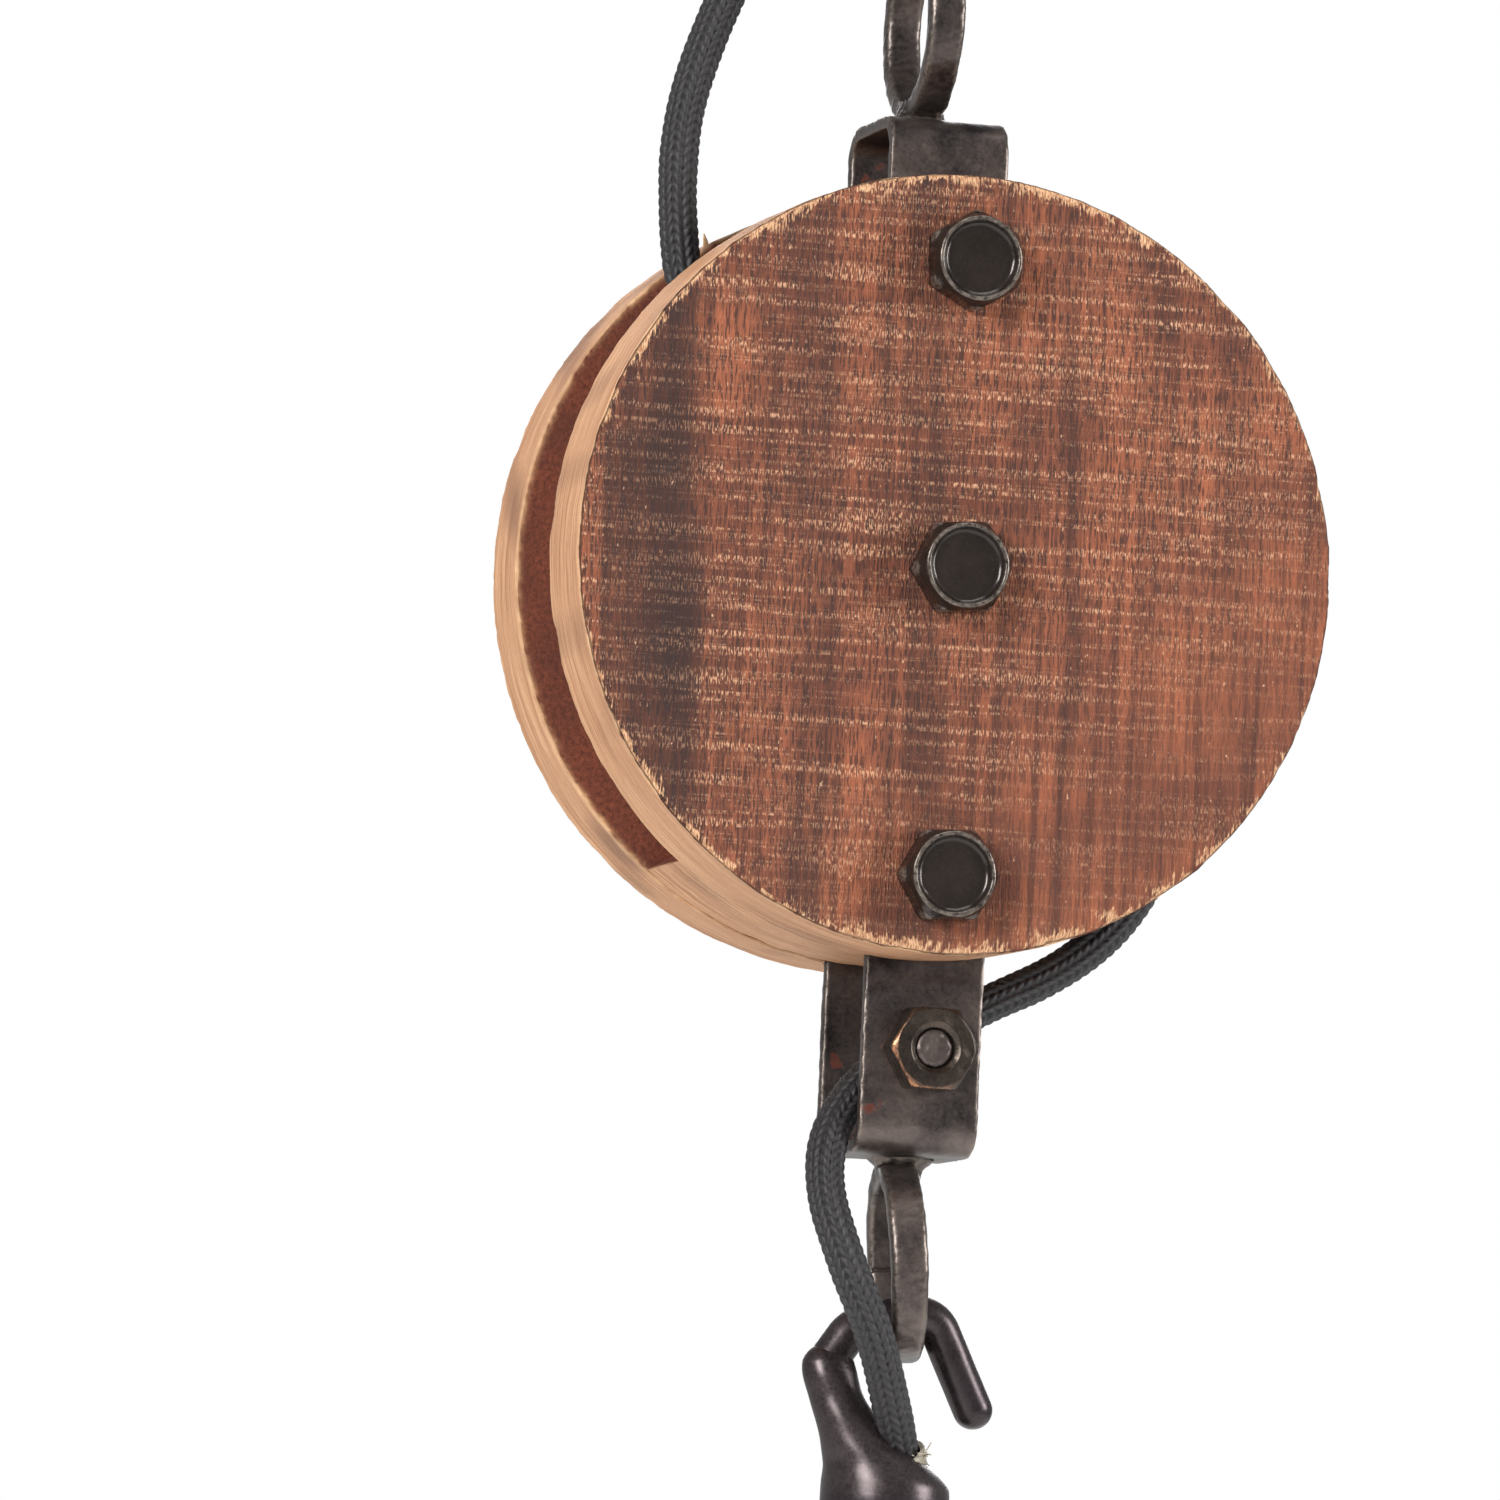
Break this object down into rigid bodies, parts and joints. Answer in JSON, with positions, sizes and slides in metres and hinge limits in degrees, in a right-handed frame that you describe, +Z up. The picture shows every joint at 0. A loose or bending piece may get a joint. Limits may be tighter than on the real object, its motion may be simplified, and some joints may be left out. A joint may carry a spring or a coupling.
{
  "type": "ceiling mounted pulley rack",
  "caption": "Round wooden pulley block with steel straps and welded rings, hung from a ceiling plate, its textile cord running through it to a hooked cast cap.",
  "frame": {"origin": "centre of the ceiling plate's top face, midway between its two screw holes", "axes": "+Z up out of the ceiling plate, +X to the right seen from the front, +Y away from the front cheek's face"},
  "size_m": [0.12, 0.09, 0.308],
  "materials": {
    "plate_steel": "satin black",
    "rubber": "matt",
    "strap_steel": "dark oiled steel with rust spots",
    "wood": "rough sawn, brown stain",
    "bolt_steel": "black satin",
    "sheave_iron": "satin",
    "bush_brass": "plain",
    "cap_iron": "brown-black satin",
    "bush_linen": "frayed",
    "nipple_steel": "zinc plated",
    "cord_textile": "woven black braid"
  },
  "bodies": {
    "ceiling": {"ceiling_plate": "plate_steel", "ceiling_hook": "plate_steel", "hook_washer": "plate_steel", "hook_nut": "plate_steel", "gland_body": "plate_steel", "gland_cap": "plate_steel", "gland_seal": "rubber", "cord_upper": "cord_textile"},
    "block": {"hanger_ring": "strap_steel", "hanger_weld": "strap_steel", "hanger_strap": "strap_steel", "lower_strap": "strap_steel", "lower_ring": "strap_steel", "lower_weld": "strap_steel", "front_cheek": "wood", "rear_cheek": "wood", "top_spacer": "wood", "bottom_spacer": "wood", "bolt_top": "bolt_steel", "washer_top": "bolt_steel", "nut_top": "bolt_steel", "bolt_centre": "bolt_steel", "washer_centre": "bolt_steel", "nut_centre": "bolt_steel", "bolt_bottom": "bolt_steel", "washer_bottom": "bolt_steel", "nut_bottom": "bolt_steel", "strap_bolt": "bolt_steel", "strap_nut": "bolt_steel", "cord_lower": "cord_textile"},
    "sheave": {"sheave": "sheave_iron", "sheave_bush": "bush_brass"},
    "cap": {"hook_bar": "cap_iron", "hook_cap": "cap_iron", "cord_bush": "bush_linen", "cap_plug": "cap_iron", "cap_nipple": "nipple_steel", "nipple_nut": "nipple_steel"}
  },
  "joints": [
    {"name": "block_swing", "type": "hinge", "parent": "ceiling", "child": "block", "pos_m": [-0.001, 0, -0.0324], "axis": [0, 1, 0], "range_deg": [-15, 15], "deforming": ["cord_upper"]},
    {"name": "sheave_spin", "type": "hinge", "parent": "block", "child": "sheave", "pos_m": [0, 0, -0.13675], "axis": [0, 1, 0], "continuous": true},
    {"name": "cap_swing", "type": "hinge", "parent": "block", "child": "cap", "pos_m": [0.0034, 0, -0.2418], "axis": [0.9842, -0.1576, 0.0802], "range_deg": [-20, 20], "deforming": ["cord_lower"]}
  ]
}
